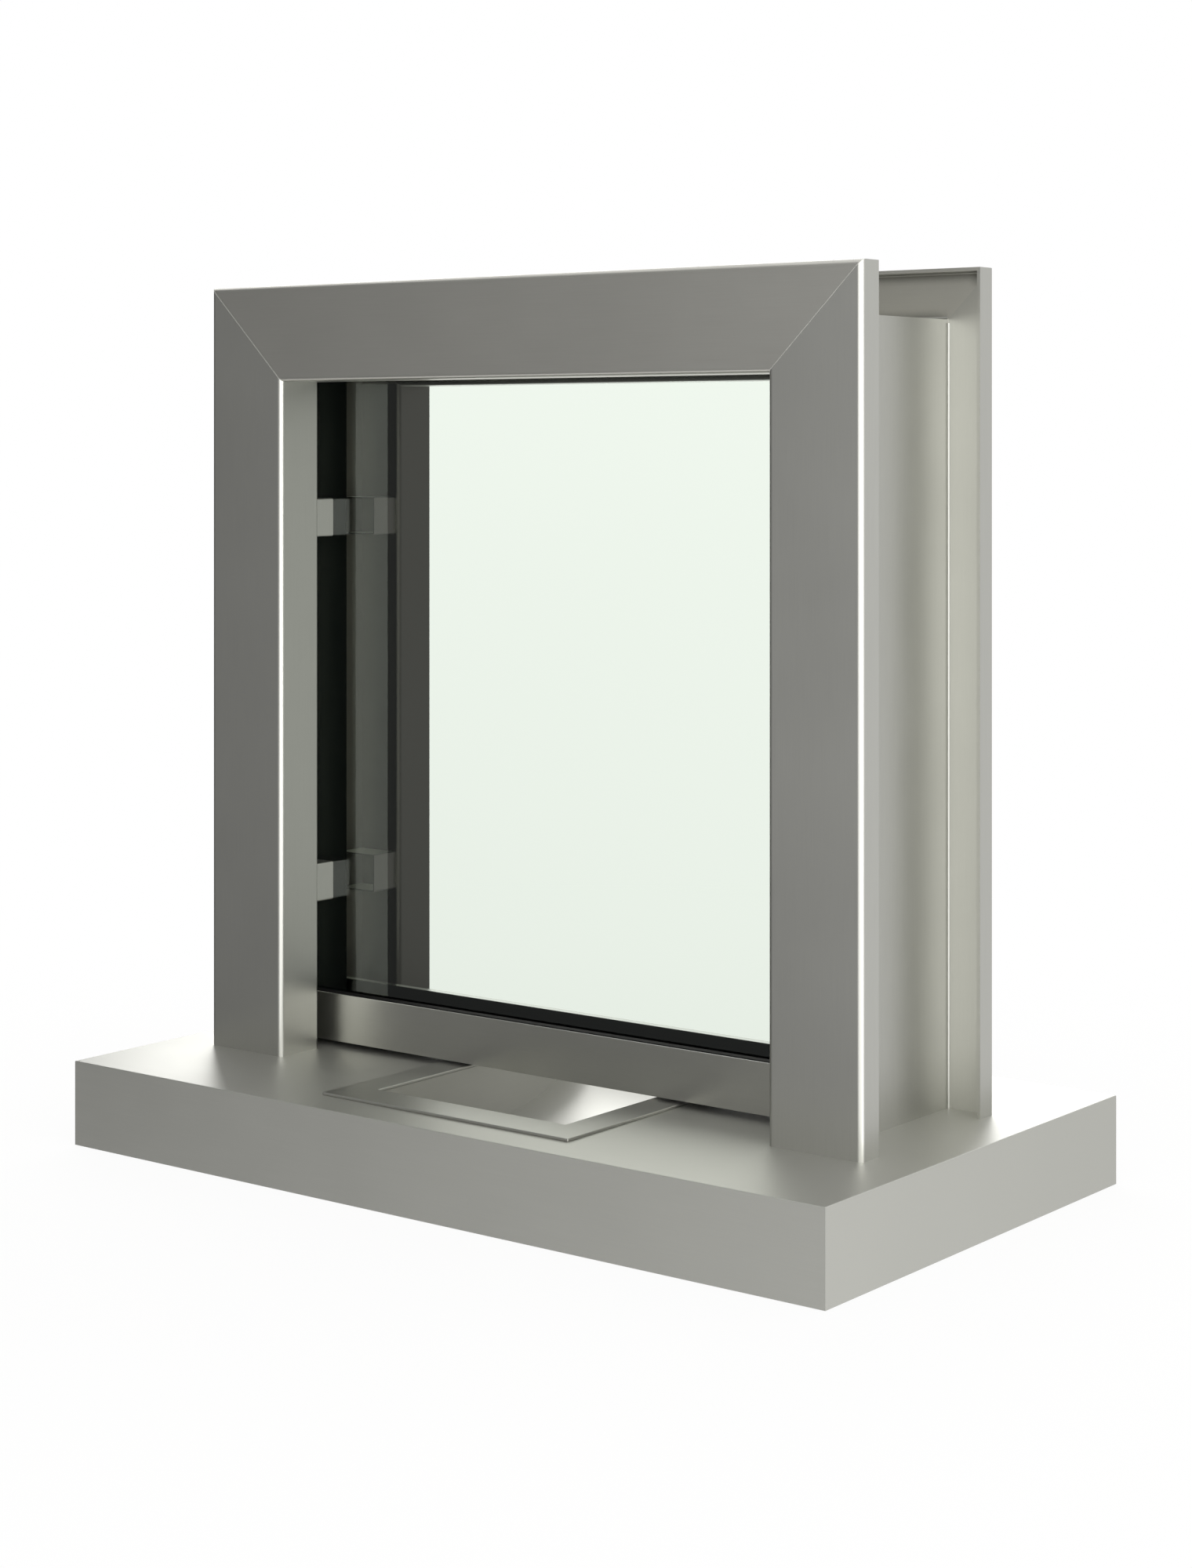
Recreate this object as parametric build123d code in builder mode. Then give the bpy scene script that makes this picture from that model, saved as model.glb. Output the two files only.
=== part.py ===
"""Through-wall transaction window: a stainless frame, thick glazing, a counter shelf and a deal tray.

The origin is under the middle of the shelf. +Z is up, -Y is the public side and X = 0 is the
plane of symmetry. The glazing stands a little to the public side of Y = 0. Lengths are in millimetres.
"""

from build123d import *
import os

os.makedirs("parts", exist_ok=True)

# Counter shelf: a folded sheet cover over a core of boards
shelf_side_margin = 47.9
shelf_depth = 454.6
shelf_thickness = 76.0
shelf_sheet = 2.0
shelf_edge_radius = 0.8
well_floor_thickness = 15.0

# Deal tray, dropped into the shelf and passing under the glazing
tray_opening_width = 206.0
tray_opening_depth = 305.0
tray_scoop_depth = 52.0
tray_sheet = 1.5
tray_rim_thickness = 2.5
tray_rim_side = 31.5
tray_rim_end = 37.0
tray_cutout_gap = 2.0

# Frame: brake-formed sheet, mitred at the two top corners
frame_depth = 203.9
frame_sheet = 3.0
edge_bend_radius = 4.5
pocket_bend_radius = 4.5
front_jamb_face = 89.0
front_head_face = 87.6
front_return = 50.5
front_lip = 24.3
back_jamb_face = 93.0
back_head_face = 91.5
back_return = 47.4
back_lip = 22.8
back_rise = 2.2

# Throat that takes the wall: how far the faces cover it, and its liner plates
side_cover = 42.5
head_cover = 39.7
liner_sheet = 3.0
weld_radius = 2.5

# Glazing and what it stands in. The frame is made to the pane and its gaps
glazing_width = 610.0
glazing_height = 635.0
glazing_thickness = 52.4
glazing_forward = 1.65
glazing_arris = 1.0
glazing_side_gap = 6.6
glazing_head_gap = 10.9
sill_gap = 5.0
sill_bar_height = 44.0
sill_bar_thickness = 8.0
sill_bar_arris = 0.8
sill_plate_thickness = 6.0
sill_tape_thickness = 0.8
sill_tape_height = 28.0
setting_block_length = 100.0
setting_block_height = 4.2
setting_block_from_end = 100.0
setting_block_depth = 40.0

# Glazing clips, which hold the glazing off the frame so that voices pass round it
clip_height = 35.6
clip_setback = 4.5
clip_sheet = 1.5
clip_bend_radius = 2.0
clip_lower = 134.3
clip_upper = 473.1

# Across the width: the pane, the liners beside it, the faces over the wall, the shelf below
liner_inner_x = glazing_width / 2 + glazing_side_gap
liner_outer_x = liner_inner_x + liner_sheet
frame_half_width = liner_outer_x + side_cover
shelf_width = 2 * (frame_half_width + shelf_side_margin)

# Up the height: the shelf, the sill, the pane, the head liner, the faces over the wall
shelf_top = shelf_thickness
sill_bottom = shelf_top + sill_gap
sill_plate_top = sill_bottom + sill_plate_thickness
glazing_bottom = sill_plate_top + setting_block_height
glazing_top = glazing_bottom + glazing_height
liner_underside = glazing_top + glazing_head_gap
liner_top = liner_underside + liner_sheet
front_top = liner_top + head_cover
back_top = front_top + back_rise

# Through the depth: the frame about Y = 0, the pane and its sill about the pane's own middle
frame_half_depth = frame_depth / 2
throat_half_depth = frame_half_depth - frame_sheet
glazing_middle_y = -glazing_forward
glazing_front_y = glazing_middle_y - glazing_thickness / 2
glazing_back_y = glazing_middle_y + glazing_thickness / 2
sill_plate_front_y = glazing_front_y - sill_tape_thickness
sill_plate_back_y = glazing_back_y + sill_tape_thickness
glazing_plane = Plane(origin=(0, glazing_middle_y, 0), z_dir=(0, 1, 0))

# The scoop is one circular arc between the ends of the tray opening
tray_half_depth = tray_opening_depth / 2
scoop_bottom = shelf_top - tray_scoop_depth
scoop_radius = (tray_half_depth**2 + tray_scoop_depth**2) / (2 * tray_scoop_depth)
scoop_outer_bottom = scoop_bottom - tray_sheet
scoop_outer_radius = scoop_radius + tray_sheet
scoop_outer_half_depth = (scoop_outer_radius**2 - (scoop_radius - tray_scoop_depth) ** 2) ** 0.5
cutout_width = tray_opening_width + 2 * (tray_sheet + tray_cutout_gap)
cutout_depth = 2 * (scoop_outer_half_depth + tray_cutout_gap)


def save(name, part):
    """Labels one finished piece and writes it as its own STEP file."""
    part.label = name
    export_step(part, f"parts/{name}.step")


def slab(x_range, y_range, z_range):
    """Adds a plain board between two values along each axis to the piece being made."""
    ranges = (x_range, y_range, z_range)
    middle = tuple((low + high) / 2 for low, high in ranges)
    with Locations(middle):
        Box(*[high - low for low, high in ranges])


def folded_section(plane, corners, radii, thickness):
    """Draws a bent sheet's section: its outer skin along the corners, the sheet on the skin's left."""
    with BuildSketch(plane) as section:
        with BuildLine():
            FilletPolyline(*corners, radius=radii)
            offset(amount=thickness, side=Side.LEFT)
        make_face()
    return section.sketch


def trim_corners(lip, face, return_depth, leg_end):
    """Corners of a frame member's skin: lip, face, return and pocket leg.

    The first number of each runs inwards from the frame's outer edge, the second runs into the
    wall from the face.
    """
    return [(0, lip), (0, 0), (face, 0), (face, return_depth), (leg_end, return_depth)]


trim_radii = [edge_bend_radius, edge_bend_radius, pocket_bend_radius]


def mitre_plane(side, top, jamb_face, head_face):
    """The plane of a mitred top corner, on the side -1 or +1, facing up and inwards."""
    return Plane(
        origin=(side * frame_half_width, 0, top),
        x_dir=(0, 1, 0),
        z_dir=(-side * head_face, 0, jamb_face),
    )


# Shelf cover: folded from one sheet, open underneath, with the cut-out for the tray
with BuildPart() as shelf_cover:
    with BuildSketch():
        Rectangle(shelf_width, shelf_depth)
    extrude(amount=shelf_thickness)
    fillet(shelf_cover.faces().sort_by(Axis.Z)[-1].edges(), radius=shelf_edge_radius)
    with BuildSketch():
        Rectangle(shelf_width - 2 * shelf_sheet, shelf_depth - 2 * shelf_sheet)
    extrude(amount=shelf_thickness - shelf_sheet, mode=Mode.SUBTRACT)
    with BuildSketch(Plane.XY.offset(shelf_top)):
        Rectangle(cutout_width, cutout_depth)
    extrude(amount=-shelf_sheet, mode=Mode.SUBTRACT)
save("shelf_cover", shelf_cover.part)

# Core boards: one at each end, one in front of and one behind the tray, and a floor under it
core_half_width = shelf_width / 2 - shelf_sheet
core_half_depth = shelf_depth / 2 - shelf_sheet
core_top = shelf_top - shelf_sheet

with BuildPart() as core_board_left:
    slab((-core_half_width, -cutout_width / 2), (-core_half_depth, core_half_depth), (0, core_top))
save("core_board_left", core_board_left.part)

with BuildPart() as core_board_right:
    mirror(core_board_left.part, about=Plane.YZ)
save("core_board_right", core_board_right.part)

with BuildPart() as core_board_front:
    slab((-cutout_width / 2, cutout_width / 2), (-core_half_depth, -cutout_depth / 2), (0, core_top))
save("core_board_front", core_board_front.part)

with BuildPart() as core_board_back:
    mirror(core_board_front.part, about=Plane.XZ)
save("core_board_back", core_board_back.part)

with BuildPart() as tray_well_floor:
    slab(
        (-cutout_width / 2, cutout_width / 2),
        (-cutout_depth / 2, cutout_depth / 2),
        (0, well_floor_thickness),
    )
save("tray_well_floor", tray_well_floor.part)

# Deal tray: a flat rim on the shelf, an arched scoop and two segment-shaped sides
with BuildPart() as deal_tray_rim:
    with BuildSketch(Plane.XY.offset(shelf_top)):
        Rectangle(tray_opening_width + 2 * tray_rim_side, tray_opening_depth + 2 * tray_rim_end)
        Rectangle(tray_opening_width, tray_opening_depth, mode=Mode.SUBTRACT)
    extrude(amount=tray_rim_thickness)
save("deal_tray_rim", deal_tray_rim.part)


def scoop_arc(half_depth, bottom):
    """Draws an arc from front to back, hung from the level of the shelf's top."""
    return ThreePointArc((-half_depth, shelf_top), (0, bottom), (half_depth, shelf_top))


with BuildPart() as deal_tray_scoop:
    with BuildSketch(Plane.YZ):
        with BuildLine():
            inner = scoop_arc(tray_half_depth, scoop_bottom)
            outer = scoop_arc(scoop_outer_half_depth, scoop_outer_bottom)
            Line(inner @ 0, outer @ 0)
            Line(inner @ 1, outer @ 1)
        make_face()
    extrude(amount=tray_opening_width / 2, both=True)
save("deal_tray_scoop", deal_tray_scoop.part)

with BuildPart() as deal_tray_side_left:
    with BuildSketch(Plane.YZ.offset(-tray_opening_width / 2)):
        with BuildLine():
            keel = scoop_arc(scoop_outer_half_depth, scoop_outer_bottom)
            Line(keel @ 0, keel @ 1)
        make_face()
    extrude(amount=-tray_sheet)
save("deal_tray_side_left", deal_tray_side_left.part)

with BuildPart() as deal_tray_side_right:
    mirror(deal_tray_side_left.part, about=Plane.YZ)
save("deal_tray_side_right", deal_tray_side_right.part)


def frame_jamb(name, side_of_wall, top, face, head_face, return_depth, lip):
    """Makes a left jamb, on the front (-1) or the back (+1) of the wall, and its right twin."""
    plane = Plane(
        origin=(-frame_half_width, side_of_wall * frame_half_depth, shelf_top),
        x_dir=(1, 0, 0),
        z_dir=(0, 0, -side_of_wall),
    )
    corners = trim_corners(lip, face, return_depth, frame_half_width - liner_inner_x)
    with BuildPart() as left:
        section = folded_section(plane, corners, trim_radii, frame_sheet)
        extrude(section, amount=-side_of_wall * (top - shelf_top))
        split(bisect_by=mitre_plane(-1, top, face, head_face), keep=Keep.BOTTOM)
        with BuildSketch(Plane.XY.offset(liner_underside)):
            Rectangle(2 * liner_outer_x, 2 * throat_half_depth)
        extrude(amount=top - liner_underside, mode=Mode.SUBTRACT)
    with BuildPart() as right:
        mirror(left.part, about=Plane.YZ)
    save(f"{name}_left", left.part)
    save(f"{name}_right", right.part)


def frame_header(name, side_of_wall, top, jamb_face, face, return_depth, lip):
    """Makes the header between the two mitres, on the front (-1) or the back (+1) of the wall."""
    plane = Plane(
        origin=(0, side_of_wall * frame_half_depth, top),
        x_dir=(0, 0, -1),
        z_dir=(-side_of_wall, 0, 0),
    )
    corners = trim_corners(lip, face, return_depth, top - liner_underside)
    with BuildPart() as header:
        section = folded_section(plane, corners, trim_radii, frame_sheet)
        extrude(section, amount=frame_half_width, both=True)
        for side in (-1, 1):
            split(bisect_by=mitre_plane(side, top, jamb_face, face), keep=Keep.TOP)
        with BuildSketch(Plane.XY.offset(liner_underside)):
            Rectangle(2 * frame_half_width, 2 * throat_half_depth)
            Rectangle(2 * liner_inner_x, 2 * throat_half_depth, mode=Mode.SUBTRACT)
        extrude(amount=-face, mode=Mode.SUBTRACT)
    save(name, header.part)


for make in (frame_jamb, frame_header):
    piece = "jamb" if make is frame_jamb else "header"
    make(f"front_{piece}", -1, front_top, front_jamb_face, front_head_face, front_return, front_lip)
    make(f"back_{piece}", 1, back_top, back_jamb_face, back_head_face, back_return, back_lip)


def liner_section(plane, outer, inner):
    """Draws a liner plate's section between the two faces, with a hollow weld bead at both ends."""
    bead_start = throat_half_depth - weld_radius
    with BuildSketch(plane) as section:
        with BuildLine():
            front_bead = CenterArc((outer + weld_radius, -bead_start), weld_radius, 180, 90)
            back_bead = CenterArc((outer + weld_radius, bead_start), weld_radius, 90, 90)
            Line(front_bead @ 0, back_bead @ 1)
            Polyline(
                front_bead @ 1,
                (inner, -throat_half_depth),
                (inner, throat_half_depth),
                back_bead @ 0,
            )
        make_face()
    return section.sketch


# Throat liners: the plates between the two faces that the wall butts against
with BuildPart() as throat_liner_right:
    section = liner_section(Plane.XY.offset(shelf_top), liner_outer_x, liner_inner_x)
    extrude(section, amount=liner_underside - shelf_top)
save("throat_liner_right", throat_liner_right.part)

with BuildPart() as throat_liner_left:
    mirror(throat_liner_right.part, about=Plane.YZ)
save("throat_liner_left", throat_liner_left.part)

with BuildPart() as throat_liner_head:
    plane = Plane((0, 0, 0), x_dir=(0, 0, 1), z_dir=(-1, 0, 0))
    section = liner_section(plane, liner_top, liner_underside)
    extrude(section, amount=liner_outer_x, both=True)
save("throat_liner_head", throat_liner_head.part)

# Glazing: one thick laminated pane with ground edges
with BuildPart() as glazing_pane:
    slab(
        (-glazing_width / 2, glazing_width / 2),
        (glazing_front_y, glazing_back_y),
        (glazing_bottom, glazing_top),
    )
    chamfer(glazing_pane.edges(), length=glazing_arris)
save("glazing_pane", glazing_pane.part)

# Sill: a plate between the liners with a flat bar along each edge, clear of the shelf and the tray
with BuildPart() as sill_plate:
    slab(
        (-liner_inner_x, liner_inner_x),
        (sill_plate_front_y, sill_plate_back_y),
        (sill_bottom, sill_plate_top),
    )
save("sill_plate", sill_plate.part)

with BuildPart() as sill_bar_front:
    slab(
        (-liner_inner_x, liner_inner_x),
        (sill_plate_front_y - sill_bar_thickness, sill_plate_front_y),
        (sill_bottom, sill_bottom + sill_bar_height),
    )
    top_edges = sill_bar_front.faces().sort_by(Axis.Z)[-1].edges().filter_by(Axis.X)
    fillet(top_edges, radius=sill_bar_arris)
save("sill_bar_front", sill_bar_front.part)

with BuildPart() as sill_bar_back:
    mirror(sill_bar_front.part, about=glazing_plane)
save("sill_bar_back", sill_bar_back.part)

with BuildPart() as glazing_tape_front:
    slab(
        (-glazing_width / 2, glazing_width / 2),
        (sill_plate_front_y, glazing_front_y),
        (sill_bottom + sill_bar_height - sill_tape_height, sill_bottom + sill_bar_height),
    )
save("glazing_tape_front", glazing_tape_front.part)

with BuildPart() as glazing_tape_back:
    mirror(glazing_tape_front.part, about=glazing_plane)
save("glazing_tape_back", glazing_tape_back.part)

with BuildPart() as setting_block_left:
    slab(
        (
            -glazing_width / 2 + setting_block_from_end,
            -glazing_width / 2 + setting_block_from_end + setting_block_length,
        ),
        (
            glazing_middle_y - setting_block_depth / 2,
            glazing_middle_y + setting_block_depth / 2,
        ),
        (sill_plate_top, glazing_bottom),
    )
save("setting_block_left", setting_block_left.part)

with BuildPart() as setting_block_right:
    mirror(setting_block_left.part, about=Plane.YZ)
save("setting_block_right", setting_block_right.part)

# Glazing clips: folded channels from the liners, between the pocket legs and the pane
def glazing_clip(where, height_name, bottom, face, y_range):
    """Makes the left clip on the front or the back of the pane, and its right twin."""
    face_x = -frame_half_width + face - clip_setback
    corners = [
        (-liner_inner_x, bottom),
        (face_x, bottom),
        (face_x, bottom + clip_height),
        (-liner_inner_x, bottom + clip_height),
    ]
    near_y, far_y = y_range
    plane = Plane((0, near_y, 0), x_dir=(1, 0, 0), z_dir=(0, -1, 0))
    with BuildPart() as left:
        section = folded_section(plane, corners, clip_bend_radius, clip_sheet)
        extrude(section, amount=near_y - far_y)
    with BuildPart() as right:
        mirror(left.part, about=Plane.YZ)
    save(f"{where}_clip_left_{height_name}", left.part)
    save(f"{where}_clip_right_{height_name}", right.part)


front_pocket = (-frame_half_depth + front_return, glazing_front_y)
back_pocket = (glazing_back_y, frame_half_depth - back_return)
for height_name, height in (("lower", clip_lower), ("upper", clip_upper)):
    glazing_clip("front", height_name, shelf_top + height, front_jamb_face, front_pocket)
    glazing_clip("back", height_name, shelf_top + height, back_jamb_face, back_pocket)
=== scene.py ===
"""Finishes and studio for a through-wall transaction window, laid out as a Blender add-on.

Lengths are in metres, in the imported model's frame: the origin is under the middle of the shelf,
+Z is up and -Y is the public side.
"""

import math

import bpy
from bpy.props import FloatProperty, FloatVectorProperty, PointerProperty
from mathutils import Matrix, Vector


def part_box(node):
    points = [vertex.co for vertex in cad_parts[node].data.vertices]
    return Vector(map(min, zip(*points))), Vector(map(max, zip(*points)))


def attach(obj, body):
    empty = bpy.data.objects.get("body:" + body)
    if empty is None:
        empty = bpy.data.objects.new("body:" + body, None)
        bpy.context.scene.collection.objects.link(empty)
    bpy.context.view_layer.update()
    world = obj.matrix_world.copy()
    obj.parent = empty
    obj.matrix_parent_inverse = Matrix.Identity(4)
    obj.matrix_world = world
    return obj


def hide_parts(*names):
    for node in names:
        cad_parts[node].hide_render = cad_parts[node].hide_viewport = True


bl_info = {
    "name": "Transaction window finish",
    "version": (1, 0, 0),
    "blender": (4, 5, 0),
    "location": "View3D > Sidebar > Window",
    "description": "Finishes a stainless transaction window and its deal tray, and lights them",
    "category": "Object",
}

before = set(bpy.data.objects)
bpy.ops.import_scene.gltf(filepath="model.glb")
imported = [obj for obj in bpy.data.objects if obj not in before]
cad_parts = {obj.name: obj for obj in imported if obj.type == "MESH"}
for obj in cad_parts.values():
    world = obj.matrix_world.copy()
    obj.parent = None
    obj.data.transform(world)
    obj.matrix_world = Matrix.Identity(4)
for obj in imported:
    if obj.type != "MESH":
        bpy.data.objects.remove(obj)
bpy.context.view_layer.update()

MM = 0.001

# The photograph's height in pixels, and what a fit of its straight edges gives for the camera
PHOTO_HEIGHT = 2000
HORIZON_ROW = 564.6
FOCAL_PIXELS = 3641.8
SENSOR = 36.0
CAMERA_PLACE = (1.5542, -1.9837, 0.6364)
CAMERA_TURN = math.radians(37.787)


def linear(colour):
    """Turns an sRGB hex colour into linear RGBA."""
    parts = [int(colour[i : i + 2], 16) / 255 for i in (1, 3, 5)]
    return [c / 12.92 if c <= 0.04045 else ((c + 0.055) / 1.055) ** 2.4 for c in parts] + [1.0]


def add(tree, kind, inputs=None, **settings):
    """Adds a node with its settings, and sets or links its inputs by name or number.

    A colour mix takes its two colours at inputs 6 and 7, and gives their mix at output 2.
    """
    node = tree.nodes.new(kind)
    for name, value in settings.items():
        setattr(node, name, value)
    for key, value in (inputs or {}).items():
        if isinstance(value, bpy.types.NodeSocket):
            tree.links.new(value, node.inputs[key])
        else:
            node.inputs[key].default_value = value
    return node


def new_material(name):
    """An empty node material."""
    material = bpy.data.materials.new(name)
    material.use_nodes = True
    material.node_tree.nodes.clear()
    return material


def new_object(name, data):
    """An object in the scene, at the origin."""
    made = bpy.data.objects.new(name, data)
    bpy.context.collection.objects.link(made)
    return made


def give(material, *names):
    """Puts a material on every slot of the named CAD nodes."""
    for name in names:
        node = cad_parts[name]
        if not node.material_slots:
            node.data.materials.append(material)
        for slot in node.material_slots:
            slot.material = material


# Sizes and colours that a user would change


class SteelFinish(bpy.types.PropertyGroup):
    """The satin steel of the frames, the shelf, the tray and the sill"""

    colour: FloatVectorProperty(
        name="Steel colour",
        description="What satin stainless steel reflects head on",
        subtype="COLOR",
        size=4,
        min=0,
        max=1,
        default=linear("#c4c4be"),
    )
    roughness: FloatProperty(
        name="Roughness",
        description="Mean roughness of the satin finish",
        default=0.36,
        min=0.05,
        max=1,
    )
    grain_width: FloatProperty(
        name="Grain width",
        description="Width of one brushed line, drawn coarser than real so that it shows",
        default=0.6 * MM,
        unit="LENGTH",
    )
    grain_length: FloatProperty(
        name="Grain length",
        description="Length of one brushed line",
        default=60 * MM,
        unit="LENGTH",
    )
    grain_depth: FloatProperty(
        name="Grain depth",
        description="Depth of a brushed line",
        default=0.004 * MM,
        unit="LENGTH",
    )
    seam_width: FloatProperty(
        name="Seam width",
        description="Width of the ground weld at a mitre",
        default=0.6 * MM,
        unit="LENGTH",
    )
    # Painted shade: how far out of a header's inside bend ambient occlusion darkens the steel
    painted_corner_shade: FloatProperty(
        name="Dark corner",
        description="How far out of a header's inside bend the belt leaves darker steel",
        default=20 * MM,
        unit="LENGTH",
    )
    arris: FloatProperty(
        name="Filed arris",
        description="Width of the rounding on the edges of the deal tray's rim",
        default=0.7 * MM,
        unit="LENGTH",
    )


class GlazingFinish(bpy.types.PropertyGroup):
    """The pane and its rubber wedge"""

    tint: FloatVectorProperty(
        name="Glass tint",
        description="What one face of the pane lets through near its top",
        subtype="COLOR",
        size=4,
        min=0,
        max=1,
        default=linear("#fafef9"),
    )
    low_tint: FloatVectorProperty(
        name="Low glass tint",
        description="What one face of the pane lets through near its foot",
        subtype="COLOR",
        size=4,
        min=0,
        max=1,
        default=linear("#f5f9f4"),
    )
    edge_colour: FloatVectorProperty(
        name="Edge colour",
        description="The dark green of a thick pane's polished edge",
        subtype="COLOR",
        size=4,
        min=0,
        max=1,
        default=linear("#16201d"),
    )
    wedge_height: FloatProperty(
        name="Wedge height",
        description="How far the rubber wedge stands out of the sill",
        default=0.8 * MM,
        unit="LENGTH",
    )


class StudioSettings(bpy.types.PropertyGroup):
    """How bright the surround, the softboxes and the cards are"""

    ambient: FloatProperty(
        name="Ambient level",
        description="Strength of the white surround as light on matt surfaces",
        default=1.0,
        min=0,
    )
    key_level: FloatProperty(
        name="Key level",
        description="Brightness of the large softbox on the public side, at the right",
        default=1.24,
        min=0,
    )
    back_level: FloatProperty(
        name="Back level",
        description="Brightness of the softbox behind the window, at the left",
        default=1.78,
        min=0,
    )
    side_level: FloatProperty(
        name="Side level",
        description="Brightness of the narrow softbox at the right, which the bends mirror",
        default=1.2,
        min=0,
    )
    front_card_level: FloatProperty(
        name="Front card level",
        description="Brightness of the cards in front and above, which the public side mirrors",
        default=0.28,
        min=0,
    )
    dark_card_level: FloatProperty(
        name="Dark card level",
        description="Brightness of the card at the far left, which only the bends mirror",
        default=0.05,
        min=0,
    )
    side_card_level: FloatProperty(
        name="Side card level",
        description="Brightness of the grey card that the right side of the window mirrors",
        default=0.77,
        min=0,
    )


# Materials


def mitred_corners(side, outward):
    """Where one frame's mitres run, from the boxes of its CAD nodes.

    Outward is -1 or +1, the way along Y that the frame's visible face looks.
    """
    header_low, header_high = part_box(f"{side}_header")
    jamb_low, jamb_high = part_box(f"{side}_jamb_left")
    return {
        "outward": outward,
        "half_width": header_high.x,
        "top": header_high.z,
        "jamb_face": jamb_high.x - jamb_low.x,
        "head_face": header_high.z - header_low.z,
    }


def weld_seam(tree, place, width, outward, half_width, top, jamb_face, head_face):
    """1 on the ground weld seams of a frame's two mitres, on its outward side, and 0 off them."""
    where = add(tree, "ShaderNodeSeparateXYZ", {0: place.outputs["Object"]})
    side = add(tree, "ShaderNodeMath", {0: where.outputs["X"]}, operation="ABSOLUTE")
    slope = head_face / jamb_face
    level = add(
        tree,
        "ShaderNodeMath",
        {0: side.outputs[0], 1: -slope, 2: slope * half_width - top},
        operation="MULTIPLY_ADD",
    )
    off = add(
        tree, "ShaderNodeMath", {0: level.outputs[0], 1: where.outputs["Z"]}, operation="ADD"
    )
    off = add(tree, "ShaderNodeMath", {0: off.outputs[0]}, operation="ABSOLUTE")
    near = add(tree, "ShaderNodeMath", {0: off.outputs[0], 1: width / 2}, operation="LESS_THAN")
    surface = add(tree, "ShaderNodeNewGeometry")
    normal = add(tree, "ShaderNodeSeparateXYZ", {0: surface.outputs["True Normal"]})
    facing = add(
        tree,
        "ShaderNodeMath",
        {0: normal.outputs["Y"], 1: outward},
        operation="MULTIPLY",
        use_clamp=True,
    )
    return add(
        tree, "ShaderNodeMath", {0: near.outputs[0], 1: facing.outputs[0]}, operation="MULTIPLY"
    )


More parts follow.
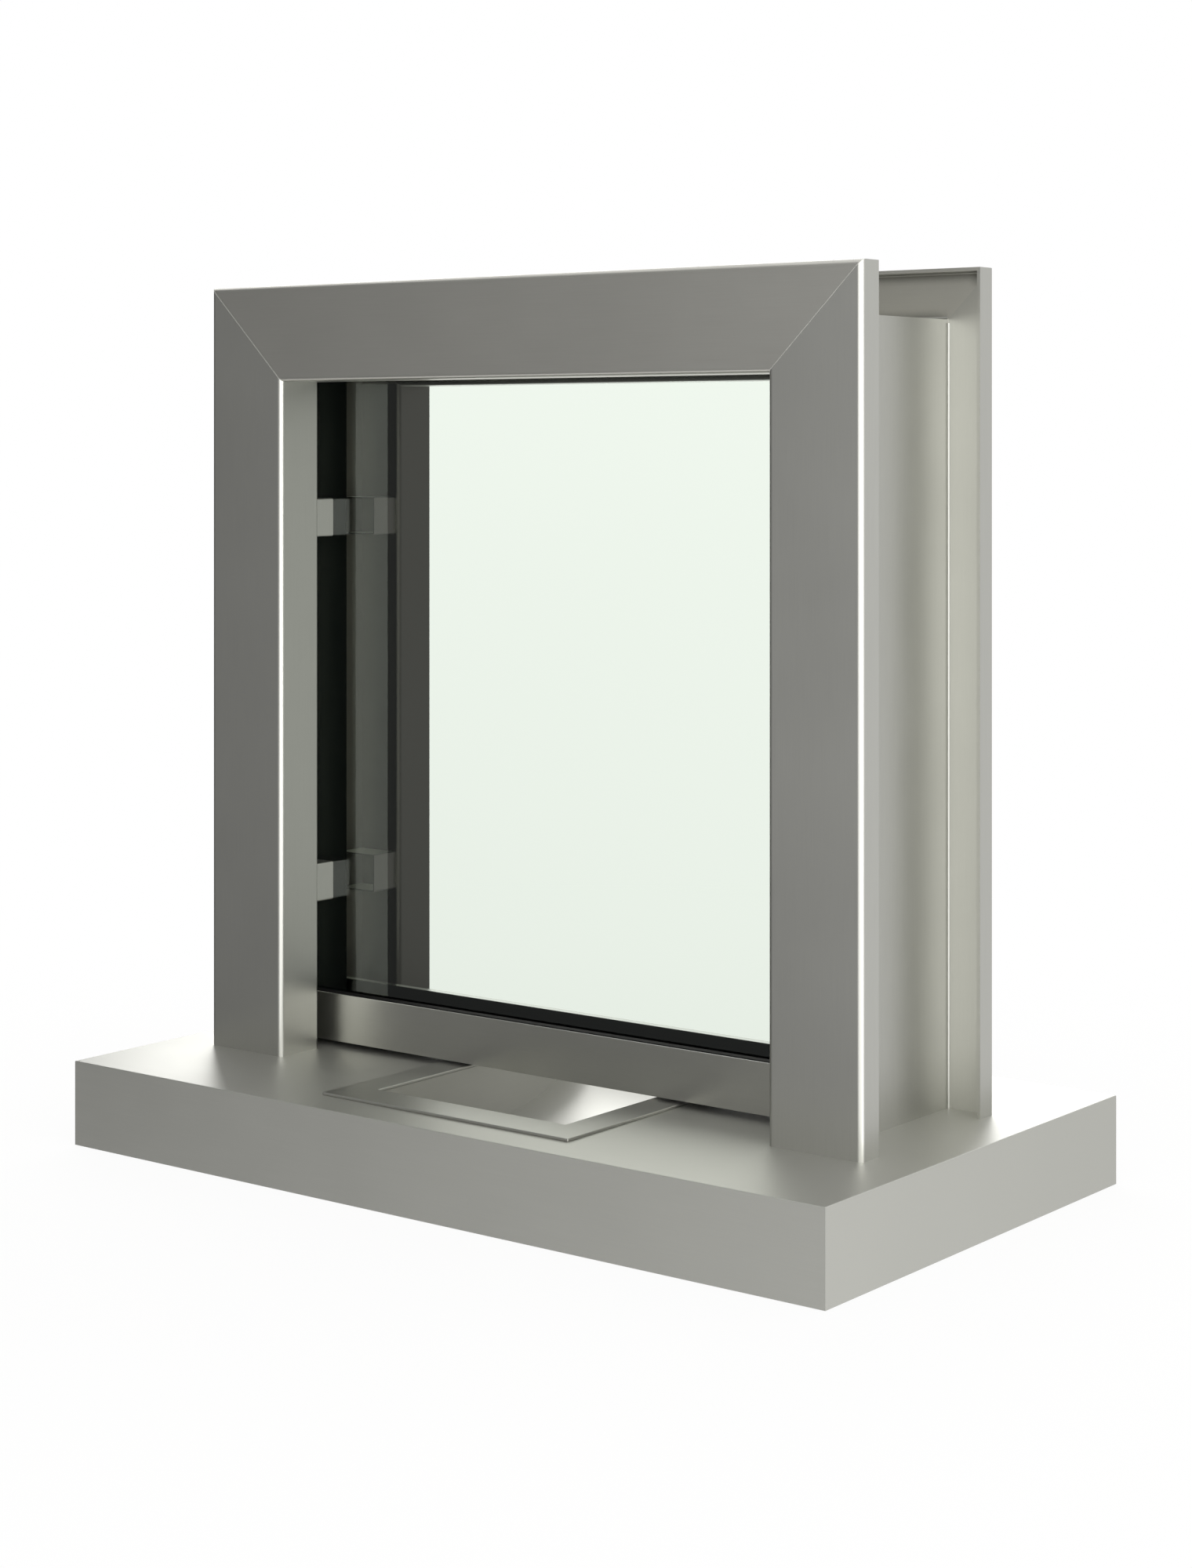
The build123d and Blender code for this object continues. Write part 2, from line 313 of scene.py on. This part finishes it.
def satin_stainless(
    name,
    grain,
    settings,
    colour=None,
    roughness=None,
    mitre=None,
    worn_top=0,
    painted_top_light=None,
    painted_corner_shade=0,
):
    """Stainless steel sheet, ground on a belt to a satin finish: fine lines along the grain axis.

    It mirrors softly, a little more so along each line, and shows no pattern from a distance.
    Mitre, from mitred_corners, gives the frame its ground weld seams, which are rougher.
    Worn_top is how much smoother use has made what faces up. What faces up also takes its own,
    lighter colour, which is painted light.
    The corner reach, the last argument, is how far out of an inside bend ambient occlusion paints
    shade on the steel.
    """
    material = new_material(name)
    tree = material.node_tree
    base = colour or list(settings.colour)
    middle = roughness or settings.roughness
    spread = 0.03
    seam_roughness = 0.6
    place = add(tree, "ShaderNodeTexCoord")
    across = 1 / settings.grain_width
    along = 1 / settings.grain_length
    scale = [along if axis == grain else across for axis in "XYZ"]
    stretched = add(
        tree, "ShaderNodeMapping", {"Vector": place.outputs["Object"], "Scale": scale}
    )
    lines = add(
        tree,
        "ShaderNodeTexNoise",
        {"Vector": stretched.outputs[0], "Scale": 1.0, "Detail": 3.0, "Roughness": 0.6},
    )
    # The patches that hands and cloths leave
    patch = 111 * MM
    handling = add(
        tree,
        "ShaderNodeTexNoise",
        {"Vector": place.outputs["Object"], "Scale": 1 / patch, "Detail": 2.0},
    )
    shade = add(
        tree,
        "ShaderNodeMapRange",
        {"Value": lines.outputs["Fac"], "From Min": 0.3, "From Max": 0.7, "To Min": 0.96},
    )
    # Painted shade: ambient occlusion darkens the steel near inside bends and corners
    if painted_corner_shade:
        openness = add(tree, "ShaderNodeAmbientOcclusion", {"Distance": painted_corner_shade}, samples=8)
        corner = add(
            tree,
            "ShaderNodeMapRange",
            {"Value": openness.outputs["AO"], "From Min": 0.38, "From Max": 0.75, "To Min": 0.02},
        )
        shade = add(
            tree,
            "ShaderNodeMath",
            {0: shade.outputs[0], 1: corner.outputs[0]},
            operation="MULTIPLY",
        )
    tone = add(
        tree,
        "ShaderNodeMix",
        {"Factor": 1.0, 6: base, 7: shade.outputs[0]},
        data_type="RGBA",
        blend_type="MULTIPLY",
    )
    if mitre:
        seam = weld_seam(tree, place, settings.seam_width, **mitre)
        tone = add(
            tree,
            "ShaderNodeMix",
            {"Factor": seam.outputs[0], 6: tone.outputs[2], 7: linear("#d2d2cd")},
            data_type="RGBA",
        )
    if worn_top:
        surface = add(tree, "ShaderNodeNewGeometry")
        normal = add(tree, "ShaderNodeSeparateXYZ", {0: surface.outputs["True Normal"]})
        upward = add(
            tree, "ShaderNodeMath", {0: normal.outputs["Z"], 1: 0.5}, operation="GREATER_THAN"
        )
        # Painted light: what faces up takes its own, lighter colour
        tone = add(
            tree,
            "ShaderNodeMix",
            {"Factor": upward.outputs[0], 6: tone.outputs[2], 7: painted_top_light},
            data_type="RGBA",
        )
    # Painted shade: where the camera sees steel through the pane, the steel takes a colour about
    # five times darker
    ray = add(tree, "ShaderNodeLightPath")
    behind = add(
        tree,
        "ShaderNodeMath",
        {0: ray.outputs["Transparent Depth"], 1: ray.outputs["Is Camera Ray"]},
        operation="MULTIPLY",
        use_clamp=True,
    )
    tone = add(
        tree,
        "ShaderNodeMix",
        {"Factor": behind.outputs[0], 6: tone.outputs[2], 7: linear("#4a4745")},
        data_type="RGBA",
    )
    both = add(
        tree,
        "ShaderNodeMath",
        {0: lines.outputs["Fac"], 1: handling.outputs["Fac"]},
        operation="ADD",
    )
    gloss = add(
        tree,
        "ShaderNodeMapRange",
        {
            "Value": both.outputs[0],
            "From Min": 0.6,
            "From Max": 1.4,
            "To Min": middle - spread,
            "To Max": middle + spread,
        },
    )
    if mitre:
        gloss = add(
            tree,
            "ShaderNodeMath",
            {0: seam.outputs[0], 1: seam_roughness, 2: gloss.outputs[0]},
            operation="MULTIPLY_ADD",
        )
    if worn_top:
        gloss = add(
            tree,
            "ShaderNodeMath",
            {0: upward.outputs[0], 1: -worn_top, 2: gloss.outputs[0]},
            operation="MULTIPLY_ADD",
        )
    relief = add(
        tree,
        "ShaderNodeBump",
        {"Height": lines.outputs["Fac"], "Strength": 0.3, "Distance": settings.grain_depth},
    )
    steel = add(
        tree,
        "ShaderNodeBsdfPrincipled",
        {
            "Base Color": tone.outputs[2],
            "Metallic": 1.0,
            "Roughness": gloss.outputs[0],
            "Normal": relief.outputs[0],
        },
    )
    add(tree, "ShaderNodeOutputMaterial", {"Surface": steel.outputs[0]})
    return material


def security_glass(name, settings, sill_top):
    """Laminated float glass with polished edges.

    Both faces are flat and mirror smooth, so it is seen through without blur. Only the face
    that a ray meets first mirrors, a little more than one face of glass would. Light comes to
    the edges from far inside the pane, so they look dark green. Where the pane stands in the
    sill, its taped faces look like its edges.
    """
    material = new_material(name)
    tree = material.node_tree
    place = add(tree, "ShaderNodeTexCoord")
    surface = add(tree, "ShaderNodeNewGeometry")
    where = add(tree, "ShaderNodeSeparateXYZ", {0: place.outputs["Object"]})
    # Painted shade: the tint darkens towards the pane's foot, and slow clouds move it up and down a
    # little
    cloud = 333 * MM
    drift = 100 * MM
    clouds = add(
        tree,
        "ShaderNodeTexNoise",
        {"Vector": place.outputs["Object"], "Scale": 1 / cloud, "Detail": 0.0},
    )
    height = add(
        tree,
        "ShaderNodeMath",
        {0: clouds.outputs["Fac"], 1: drift, 2: where.outputs["Z"]},
        operation="MULTIPLY_ADD",
    )
    cast = add(
        tree,
        "ShaderNodeMapRange",
        {"Value": height.outputs[0], "From Min": 150 * MM, "From Max": 800 * MM},
    )
    tint = add(
        tree,
        "ShaderNodeMix",
        {"Factor": cast.outputs[0], 6: list(settings.low_tint), 7: list(settings.tint)},
        data_type="RGBA",
    )
    ray = add(tree, "ShaderNodeLightPath")
    passed = add(
        tree,
        "ShaderNodeMix",
        {"Factor": ray.outputs["Is Camera Ray"], 6: linear("#d9dad7"), 7: tint.outputs[2]},
        data_type="RGBA",
    )
    clear = add(tree, "ShaderNodeBsdfTransparent", {"Color": passed.outputs[2]})
    mirror = add(tree, "ShaderNodeBsdfGlossy", {"Color": linear("#f4fbf6"), "Roughness": 0.0})
    fresnel = add(tree, "ShaderNodeFresnel", {"IOR": 1.6})
    outside = add(
        tree,
        "ShaderNodeMath",
        {0: 1.0, 1: surface.outputs["Backfacing"]},
        operation="SUBTRACT",
    )
    share = add(
        tree,
        "ShaderNodeMath",
        {0: fresnel.outputs[0], 1: outside.outputs[0]},
        operation="MULTIPLY",
    )
    faces = add(
        tree,
        "ShaderNodeMixShader",
        {0: share.outputs[0], 1: clear.outputs[0], 2: mirror.outputs[0]},
    )
    edges = add(
        tree,
        "ShaderNodeBsdfPrincipled",
        {"Base Color": list(settings.edge_colour), "Roughness": 0.12, "IOR": 1.52},
    )
    inside = add(tree, "ShaderNodeBsdfDiffuse", {"Color": linear("#101312")})
    edges = add(
        tree,
        "ShaderNodeMixShader",
        {0: surface.outputs["Backfacing"], 1: edges.outputs[0], 2: inside.outputs[0]},
    )
    normal = add(tree, "ShaderNodeSeparateXYZ", {0: surface.outputs["Normal"]})
    depthwise = add(tree, "ShaderNodeMath", {0: normal.outputs["Y"]}, operation="ABSOLUTE")
    is_face = add(
        tree, "ShaderNodeMath", {0: depthwise.outputs[0], 1: 0.9}, operation="GREATER_THAN"
    )
    above = add(
        tree, "ShaderNodeMath", {0: where.outputs["Z"], 1: sill_top}, operation="GREATER_THAN"
    )
    clear_part = add(
        tree, "ShaderNodeMath", {0: is_face.outputs[0], 1: above.outputs[0]}, operation="MULTIPLY"
    )
    pane = add(
        tree,
        "ShaderNodeMixShader",
        {0: clear_part.outputs[0], 1: edges.outputs[0], 2: faces.outputs[0]},
    )
    add(tree, "ShaderNodeOutputMaterial", {"Surface": pane.outputs[0]})
    return material


def grained(name, spots, dark, light, smoothest, roughest, relief=0, shine=0.5, **noise):
    """A matt material whose colour, roughness and relief all follow one noise.

    Spots gives the sizes of the noise along X, Y and Z, and relief its depth. Shine is the
    level of the mirroring on top of the colour.
    """
    material = new_material(name)
    tree = material.node_tree
    place = add(tree, "ShaderNodeTexCoord")
    sized = add(
        tree,
        "ShaderNodeMapping",
        {"Vector": place.outputs["Object"], "Scale": [1 / size for size in spots]},
    )
    grain = add(
        tree, "ShaderNodeTexNoise", {"Vector": sized.outputs[0], "Scale": 1.0, **noise}
    )
    colour = add(
        tree,
        "ShaderNodeMix",
        {"Factor": grain.outputs["Fac"], 6: linear(dark), 7: linear(light)},
        data_type="RGBA",
    )
    gloss = add(
        tree,
        "ShaderNodeMapRange",
        {"Value": grain.outputs["Fac"], "To Min": smoothest, "To Max": roughest},
    )
    finish = {
        "Base Color": colour.outputs[2],
        "Roughness": gloss.outputs[0],
        "Specular IOR Level": shine,
    }
    if relief:
        bump = add(
            tree,
            "ShaderNodeBump",
            {"Height": grain.outputs["Fac"], "Strength": 0.3, "Distance": relief},
        )
        finish["Normal"] = bump.outputs[0]
    surface = add(tree, "ShaderNodeBsdfPrincipled", finish)
    add(tree, "ShaderNodeOutputMaterial", {"Surface": surface.outputs[0]})
    return material


def glazing_rubber(name):
    """Extruded EPDM rubber: matt black with a faint bloom in spots."""
    return grained(
        name,
        spots=(8 * MM, 8 * MM, 8 * MM),
        dark="#0b0b0b",
        light="#171717",
        smoothest=0.6,
        roughest=0.8,
        relief=0.05 * MM,
        shine=0.1,
        Detail=4.0,
    )


def painted_shade_black(name):
    """Matt near-black in slightly uneven streaks along X, on steel that nobody sees: painted shade
    that keeps the gap under the sill bars dark.
    """
    return grained(
        name,
        spots=(60 * MM, 2 * MM, 2 * MM),
        dark="#101010",
        light="#1d1d1c",
        smoothest=0.5,
        roughest=0.7,
        Detail=3.0,
    )


def birch_plywood(name):
    """Birch plywood, sawn and sanded: pale, with long soft grain on its faces."""
    return grained(
        name,
        spots=(160 * MM, 9 * MM, 1.4 * MM),
        dark="#c9a877",
        light="#e2c99c",
        smoothest=0.55,
        roughest=0.75,
        relief=0.1 * MM,
        Detail=5.0,
        Distortion=0.4,
    )


# The pieces


class WINDOW_OT_frame(bpy.types.Operator):
    """Gives both folded frames, the throat liners and the clips their satin steel"""

    bl_idname = "window.frame"
    bl_label = "Frame"

    def execute(self, context):
        steel = context.scene.window_steel
        upright = satin_stainless("satin_stainless_upright", "Z", steel)
        level = satin_stainless("satin_stainless_level", "X", steel)
        for side, outward in (("front", -1), ("back", 1)):
            mitre = mitred_corners(side, outward)
            jamb = satin_stainless(f"satin_stainless_{side}_jamb", "Z", steel, mitre=mitre)
            give(jamb, f"{side}_jamb_left", f"{side}_jamb_right")
            # Painted light: the heads are given a lighter steel colour than the jambs, and painted
            # shade in their inside bends
            head = satin_stainless(
                f"satin_stainless_{side}_head",
                "X",
                steel,
                colour=linear("#cac9c2"),
                mitre=mitre,
                painted_corner_shade=steel.painted_corner_shade,
            )
            give(head, f"{side}_header")
        give(upright, "throat_liner_left", "throat_liner_right")
        give(level, "throat_liner_head")
        for side in ("front", "back"):
            for hand in ("left", "right"):
                for height in ("lower", "upper"):
                    give(upright, f"{side}_clip_{hand}_{height}")
        return {"FINISHED"}


class WINDOW_OT_shelf(bpy.types.Operator):
    """Finishes the shelf cover and the boards under it"""

    bl_idname = "window.shelf"
    bl_label = "Shelf"

    def execute(self, context):
        # Painted shade and painted light: the shelf's steel is given a darker colour than the
        # frame's, and its top a lighter one
        shelf = satin_stainless(
            "satin_stainless_shelf",
            "X",
            context.scene.window_steel,
            colour=linear("#bdbdb7"),
            roughness=0.6,
            worn_top=0.14,
            painted_top_light=linear("#c9c9c3"),
        )
        give(shelf, "shelf_cover")
        boards = [f"core_board_{place}" for place in ("left", "right", "front", "back")]
        give(birch_plywood("birch_plywood"), "tray_well_floor", *boards)
        return {"FINISHED"}


def filed_rim(width):
    """The deal tray's rim with its sharp edges filed round by hand, from a copy of the CAD mesh."""
    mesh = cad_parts["deal_tray_rim"].data.copy()
    mesh.name = "deal_tray_rim_filed"
    rim = new_object("deal_tray_rim_filed", mesh)
    joined = rim.modifiers.new("joined_corners", "WELD")
    joined.merge_threshold = 0.001 * MM
    arris = rim.modifiers.new("filed_arris", "BEVEL")
    arris.width = width
    arris.segments = 3
    arris.limit_method = "ANGLE"
    arris.harden_normals = True
    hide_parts("deal_tray_rim")
    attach(rim, "root")


class WINDOW_OT_deal_tray(bpy.types.Operator):
    """Finishes the deal tray and files the edges of its rim"""

    bl_idname = "window.deal_tray"
    bl_label = "Deal tray"

    def execute(self, context):
        steel = context.scene.window_steel
        # Painted shade: the tray's steel is given a darker colour than the frame's
        tray = satin_stainless("satin_stainless_tray", "Y", steel, colour=linear("#bebeb8"))
        give(tray, "deal_tray_rim", "deal_tray_scoop")
        give(tray, "deal_tray_side_left", "deal_tray_side_right")
        filed_rim(steel.arris)
        return {"FINISHED"}


def wedge_gasket(rubber, height):
    """The rubber wedge pressed in between the pane and the front sill bar, with its rounded lip."""
    bar_low, bar_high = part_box("sill_bar_front")
    pane_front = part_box("glazing_pane")[0].y
    above_bar = 0.02 * MM
    beside_pane = 0.05 * MM
    inside_bar = 0.85 * MM
    ease = 0.5 * MM
    cut = 0.3 * ease
    half = bar_high.x
    outer = bar_low.y + inside_bar
    inner = pane_front - beside_pane
    foot = bar_high.z + above_bar
    crown = bar_high.z + height
    profile = [
        (outer, foot),
        (inner, foot),
        (inner, crown),
        (outer + ease, crown),
        (outer + cut, crown - cut),
        (outer, crown - ease),
    ]
    count = len(profile)
    points = [(x, y, z) for x in (-half, half) for y, z in profile]
    sides = [(i, (i + 1) % count, count + (i + 1) % count, count + i) for i in range(count)]
    ends = [tuple(reversed(range(count))), tuple(range(count, 2 * count))]
    mesh = bpy.data.meshes.new("wedge_gasket")
    mesh.from_pydata(points, [], sides + ends)
    mesh.materials.append(rubber)
    gasket = new_object("wedge_gasket", mesh)
    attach(gasket, "root")


class WINDOW_OT_glazing(bpy.types.Operator):
    """Finishes the pane and what it stands in"""

    bl_idname = "window.glazing"
    bl_label = "Glazing"

    def execute(self, context):
        glazing = context.scene.window_glazing
        sill_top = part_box("sill_bar_front")[1].z
        give(security_glass("laminated_glass", glazing, sill_top), "glazing_pane")
        rubber = glazing_rubber("epdm_rubber")
        wedge_gasket(rubber, glazing.wedge_height)
        give(rubber, "glazing_tape_front", "glazing_tape_back")
        give(rubber, "setting_block_left", "setting_block_right")
        # Painted shade: the sill plate is matt black so that the gap under the sill bars stays dark
        give(painted_shade_black("painted_shade_black"), "sill_plate")
        # Painted shade and a painted highlight: the sill bars' steel is given a darker colour than
        # the frame's, and their tops are painted nearly white
        sill = satin_stainless(
            "satin_stainless_sill",
            "X",
            context.scene.window_steel,
            colour=linear("#b7b7b1"),
            roughness=0.33,
            worn_top=0.08,
            painted_top_light=linear("#f4f4ef"),
        )
        give(sill, "sill_bar_front", "sill_bar_back")
        return {"FINISHED"}


# The studio


def rectangle(name, azimuth, distance, bottom, width, rise):
    """A rectangle across an azimuth. Rise is how far its top edge lies outwards and upwards."""
    turn = math.radians(azimuth)
    out = Vector((math.cos(turn), math.sin(turn), 0))
    half = Vector((-out.y, out.x, 0)) * (width / 2)
    low = out * distance + Vector((0, 0, bottom))
    rise = out * rise[0] + Vector((0, 0, rise[1]))
    corners = [low - half, low + half, low + half + rise, low - half + rise]
    mesh = bpy.data.meshes.new(name)
    mesh.from_pydata([tuple(c) for c in corners], [], [(0, 1, 2, 3)])
    return new_object(name, mesh)


def only_mirrored(card):
    """Keeps a studio card out of everything but reflections."""
    card.visible_camera = False
    card.visible_diffuse = False
    card.visible_transmission = False
    card.visible_shadow = False


def softbox(name, azimuth, distance, height, width, depth, level):
    """A rectangular area lamp that faces the window, as bright as level.

    Azimuth is the direction from the window to the lamp on the floor plan, in degrees from +X
    towards +Y.
    """
    lamp = bpy.data.lights.new(name, "AREA")
    lamp.shape = "RECTANGLE"
    lamp.size = width
    lamp.size_y = depth
    lamp.energy = level * math.pi * width * depth
    holder = new_object(name, lamp)
    turn = math.radians(azimuth)
    place = Vector((distance * math.cos(turn), distance * math.sin(turn), height))
    holder.location = place
    middle_of_window = Vector((0, 0, 0.4))
    holder.rotation_euler = (middle_of_window - place).to_track_quat("-Z", "Y").to_euler()
    holder.visible_camera = False


def seen_or_mirrored(tree):
    """1 for rays from the camera and for mirrored and refracted ones, and 0 for lighting rays."""
    ray = add(tree, "ShaderNodeLightPath")
    seen = add(
        tree,
        "ShaderNodeMath",
        {0: ray.outputs["Is Camera Ray"], 1: ray.outputs["Is Glossy Ray"]},
        operation="MAXIMUM",
    )
    return add(
        tree,
        "ShaderNodeMath",
        {0: seen.outputs[0], 1: ray.outputs["Is Transmission Ray"]},
        operation="MAXIMUM",
    )


def white_surround(settings):
    """A white world for the camera and for reflections, and the ambient light for matt surfaces."""
    world = bpy.data.worlds.new("white_surround")
    bpy.context.scene.world = world
    world.use_nodes = True
    tree = world.node_tree
    tree.nodes.clear()
    seen = seen_or_mirrored(tree)
    white = linear("#ffffff")
    light = add(tree, "ShaderNodeBackground", {"Color": white, "Strength": settings.ambient})
    background = add(tree, "ShaderNodeBackground", {"Color": white, "Strength": 1.0})
    both = add(
        tree,
        "ShaderNodeMixShader",
        {0: seen.outputs[0], 1: light.outputs[0], 2: background.outputs[0]},
    )
    add(tree, "ShaderNodeOutputWorld", {"Surface": both.outputs[0]})


def white_floor():
    """A matt white sweep that keeps the shadow near the window and fades to white further out."""
    material = new_material("matt_white_sweep")
    tree = material.node_tree
    fade_start, fade_end = 0.5, 1.6
    place = add(tree, "ShaderNodeTexCoord")
    far = add(tree, "ShaderNodeVectorMath", {0: place.outputs["Object"]}, operation="LENGTH")
    fade = add(
        tree,
        "ShaderNodeMapRange",
        {
            "Value": far.outputs["Value"],
            "From Min": fade_start,
            "From Max": fade_end,
            "To Min": 0.9,
        },
        interpolation_type="SMOOTHSTEP",
    )
    seen = seen_or_mirrored(tree)
    share = add(
        tree, "ShaderNodeMath", {0: fade.outputs[0], 1: seen.outputs[0]}, operation="MULTIPLY"
    )
    matt = add(tree, "ShaderNodeBsdfDiffuse", {"Color": linear("#e6e6e4")})
    white = add(tree, "ShaderNodeEmission", {"Color": linear("#ffffff"), "Strength": 1.0})
    both = add(
        tree,
        "ShaderNodeMixShader",
        {0: share.outputs[0], 1: matt.outputs[0], 2: white.outputs[0]},
    )
    add(tree, "ShaderNodeOutputMaterial", {"Surface": both.outputs[0]})
    reach = 12
    height = -0.5 * MM
    mesh = bpy.data.meshes.new("floor")
    corners = [(-reach, -reach), (reach, -reach), (reach, reach), (-reach, reach)]
    mesh.from_pydata([(x, y, height) for x, y in corners], [], [(0, 1, 2, 3)])
    mesh.materials.append(material)
    floor = new_object("floor", mesh)
    floor.visible_glossy = False
    floor.visible_shadow = False


def glowing_card(name, level, across_share=0.0, foot_share=0.0):
    """A card that glows instead of being lit, painted light that is stronger towards +X by one
    share and weaker towards its foot by another.
    """
    material = new_material(name)
    tree = material.node_tree
    left, right = -2.2, -0.8
    darkest, full = -0.6, 0.0
    place = add(tree, "ShaderNodeTexCoord")
    where = add(tree, "ShaderNodeSeparateXYZ", {0: place.outputs["Object"]})
    across = add(
        tree,
        "ShaderNodeMapRange",
        {
            "Value": where.outputs["X"],
            "From Min": left,
            "From Max": right,
            "To Min": level * (1 - across_share),
            "To Max": level * (1 + across_share),
        },
    )
    foot = add(
        tree,
        "ShaderNodeMapRange",
        {
            "Value": where.outputs["Z"],
            "From Min": darkest,
            "From Max": full,
            "To Min": 1 - foot_share,
        },
    )
    strength = add(
        tree, "ShaderNodeMath", {0: across.outputs[0], 1: foot.outputs[0]}, operation="MULTIPLY"
    )
    grey = add(
        tree, "ShaderNodeEmission", {"Color": linear("#ffffff"), "Strength": strength.outputs[0]}
    )
    add(tree, "ShaderNodeOutputMaterial", {"Surface": grey.outputs[0]})
    return material


def photo_camera():
    """The photograph's camera: level, with its picture shifted down instead of tilted."""
    camera = bpy.data.cameras.new("camera")
    camera.sensor_width = SENSOR
    camera.lens = FOCAL_PIXELS * SENSOR / PHOTO_HEIGHT
    camera.shift_y = -(PHOTO_HEIGHT / 2 - HORIZON_ROW) / PHOTO_HEIGHT
    holder = new_object("camera", camera)
    holder.location = CAMERA_PLACE
    holder.rotation_euler = (math.pi / 2, 0, CAMERA_TURN)
    return holder


class WINDOW_OT_studio(bpy.types.Operator):
    """Sets up the camera, the floor, the white surround, the softboxes and the cards"""

    bl_idname = "window.studio"
    bl_label = "Studio"

    def execute(self, context):
        studio = context.scene.window_studio
        white_surround(studio)
        white_floor()
        # Each has its azimuth, distance, height, width, depth and level
        softbox("key_softbox", -43, 4.2, 1.0, 8.0, 4.4, studio.key_level)
        softbox("back_softbox", 130, 3.4, 1.25, 3.6, 3.3, studio.back_level)
        softbox("side_softbox", -8, 1.8, 0.4, 0.8, 2.0, studio.side_level)
        # The cards glow instead of being lit, painted light that only reflections show
        front_card = glowing_card("glowing_front_card", studio.front_card_level, 0.37, 0.25)
        dark_card = glowing_card("glowing_dark_card", studio.dark_card_level)
        side_card = glowing_card("glowing_side_card", studio.side_card_level)
        for name, azimuth, distance, bottom, width, rise, material in (
            ("card_front", -132, 2.4, -1.4, 3.4, (0.0, 3.6), front_card),
            ("card_above", -132, 1.5, 2.3, 4.4, (1.0, 0.0), front_card),
            ("card_far_left", 178, 2.6, -1.4, 3.4, (0.0, 3.6), dark_card),
            ("card_right", 50, 2.6, -1.4, 4.0, (0.0, 3.6), side_card),
        ):
            card = rectangle(name, azimuth, distance, bottom, width, rise)
            card.data.materials.append(material)
            only_mirrored(card)
        context.scene.camera = photo_camera()
        context.scene.view_settings.view_transform = "Standard"
        return {"FINISHED"}


class WINDOW_PT_panel(bpy.types.Panel):
    """Lists the window's settings and the buttons that finish it"""

    bl_label = "Transaction window"
    bl_idname = "WINDOW_PT_panel"
    bl_space_type = "VIEW_3D"
    bl_region_type = "UI"
    bl_category = "Window"

    def draw(self, context):
        for scene_name in SETTINGS:
            settings = getattr(context.scene, scene_name)
            box = self.layout.box()
            for name in settings.__annotations__:
                box.prop(settings, name)
        for operator in OPERATORS:
            self.layout.operator(operator.bl_idname)


SETTINGS = {
    "window_steel": SteelFinish,
    "window_glazing": GlazingFinish,
    "window_studio": StudioSettings,
}
OPERATORS = (
    WINDOW_OT_studio,
    WINDOW_OT_frame,
    WINDOW_OT_shelf,
    WINDOW_OT_deal_tray,
    WINDOW_OT_glazing,
)


def register():
    for name, settings in SETTINGS.items():
        bpy.utils.register_class(settings)
        setattr(bpy.types.Scene, name, PointerProperty(type=settings))
    for operator in OPERATORS:
        bpy.utils.register_class(operator)
    bpy.utils.register_class(WINDOW_PT_panel)


def unregister():
    bpy.utils.unregister_class(WINDOW_PT_panel)
    for operator in reversed(OPERATORS):
        bpy.utils.unregister_class(operator)
    for name, settings in SETTINGS.items():
        delattr(bpy.types.Scene, name)
        bpy.utils.unregister_class(settings)


def main():
    register()
    bpy.ops.window.studio()
    bpy.ops.window.frame()
    bpy.ops.window.shelf()
    bpy.ops.window.deal_tray()
    bpy.ops.window.glazing()


if __name__ == "__main__":
    main()
